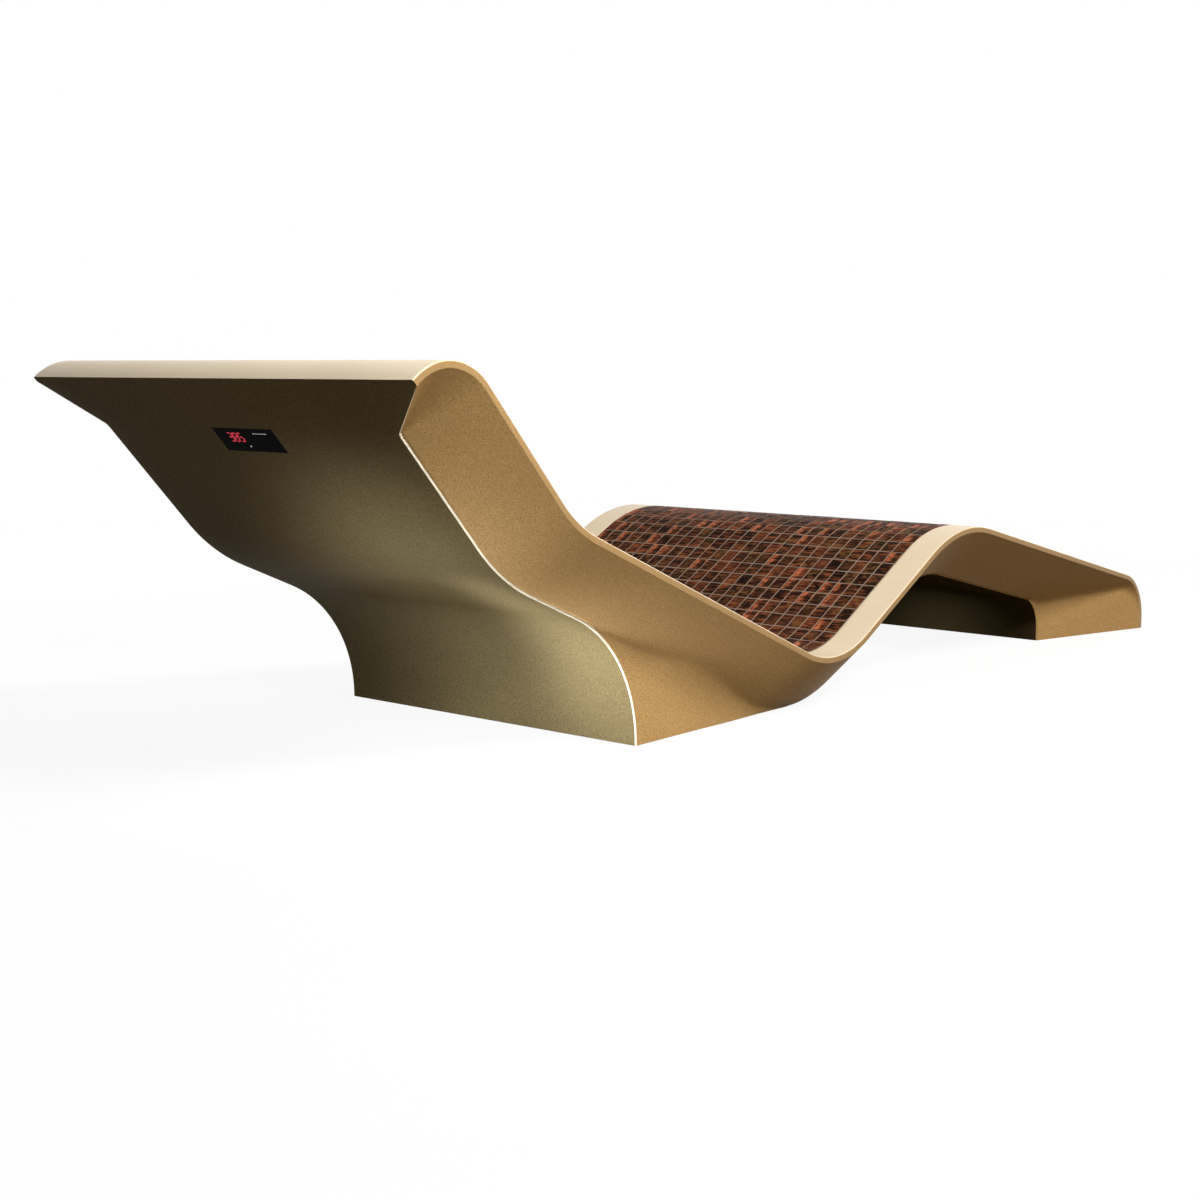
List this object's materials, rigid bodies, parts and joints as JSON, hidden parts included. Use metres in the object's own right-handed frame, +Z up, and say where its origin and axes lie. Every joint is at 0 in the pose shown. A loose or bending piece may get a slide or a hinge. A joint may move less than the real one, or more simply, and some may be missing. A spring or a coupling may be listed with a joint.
{
  "type": "spa relaxation lounger",
  "caption": "Wave-shaped heated relaxation lounger with a mosaic lying surface, sloping gold sides, a touch display in the back and levelling feet.",
  "frame": {"origin": "centre of the footprint at floor level", "axes": "+X from the head end to the foot end, +Y to the left of a person lying on it, +Z up from the floor"},
  "size_m": [2.0268, 0.75, 0.5324],
  "materials": {
    "gold_gelcoat": "satin",
    "gold_speckle": "satin",
    "bronze_gelcoat": "satin",
    "dark_gelcoat": "satin",
    "mosaic": "gloss",
    "grout": "matte",
    "floor_board": "matte",
    "heating_film": "matte",
    "sensor_case": "matte",
    "steel": "satin",
    "plywood": "matte",
    "foam": "matte",
    "black_panel": "gloss",
    "black_plastic": "matte",
    "black_rubber": "matte",
    "circuit_board": "satin",
    "aluminium_case": "satin",
    "transformer_iron": "satin",
    "nickel_brass": "satin"
  },
  "bodies": {
    "frame": {"arch_cover": "dark_gelcoat", "back_cover": "bronze_gelcoat", "base_plate": "floor_board", "cable_gland": "black_plastic", "cable_grommet": "black_rubber", "control_board": "circuit_board", "control_lid": "aluminium_case", "control_tray": "aluminium_case", "core_back": "foam", "core_base": "foam", "core_foot": "foam", "core_leg": "foam", "cross_tubes": "steel", "display_board": "circuit_board", "display_gasket": "black_rubber", "display_glass": "black_panel", "display_housing": "black_plastic", "display_lead": "black_rubber", "foot_plate": "floor_board", "foot_sockets": "steel", "gland_nut": "nickel_brass", "hatch_screws": "steel", "heater_lead": "black_rubber", "heating_mat_back": "heating_film", "heating_mat_leg": "heating_film", "heating_mat_seat": "heating_film", "mat_links": "heating_film", "mosaic_back": "mosaic", "mosaic_leg": "mosaic", "mosaic_seat": "mosaic", "mosaic_thigh": "mosaic", "rib_left": "plywood", "rib_right": "plywood", "seat_shell": "gold_gelcoat", "service_hatch": "floor_board", "side_skin_left": "gold_speckle", "side_skin_right": "gold_speckle", "temperature_sensor": "sensor_case", "terminal_block": "black_plastic", "tile_bed": "grout", "transformer": "transformer_iron"},
    "foot_rear_left": {"foot_pad_rear_left": "black_rubber", "foot_stud_rear_left": "steel"},
    "foot_rear_right": {"foot_pad_rear_right": "black_rubber", "foot_stud_rear_right": "steel"},
    "foot_toe_left": {"foot_pad_toe_left": "black_rubber", "foot_stud_toe_left": "steel"},
    "foot_toe_right": {"foot_pad_toe_right": "black_rubber", "foot_stud_toe_right": "steel"}
  },
  "joints": [
    {"name": "level_rear_left", "type": "slide", "parent": "frame", "child": "foot_rear_left", "axis": [0, 0, -1], "range_m": [0, 0.012]},
    {"name": "level_rear_right", "type": "slide", "parent": "frame", "child": "foot_rear_right", "axis": [0, 0, -1], "range_m": [0, 0.012]},
    {"name": "level_toe_left", "type": "slide", "parent": "frame", "child": "foot_toe_left", "axis": [0, 0, -1], "range_m": [0, 0.012]},
    {"name": "level_toe_right", "type": "slide", "parent": "frame", "child": "foot_toe_right", "axis": [0, 0, -1], "range_m": [0, 0.012]}
  ]
}
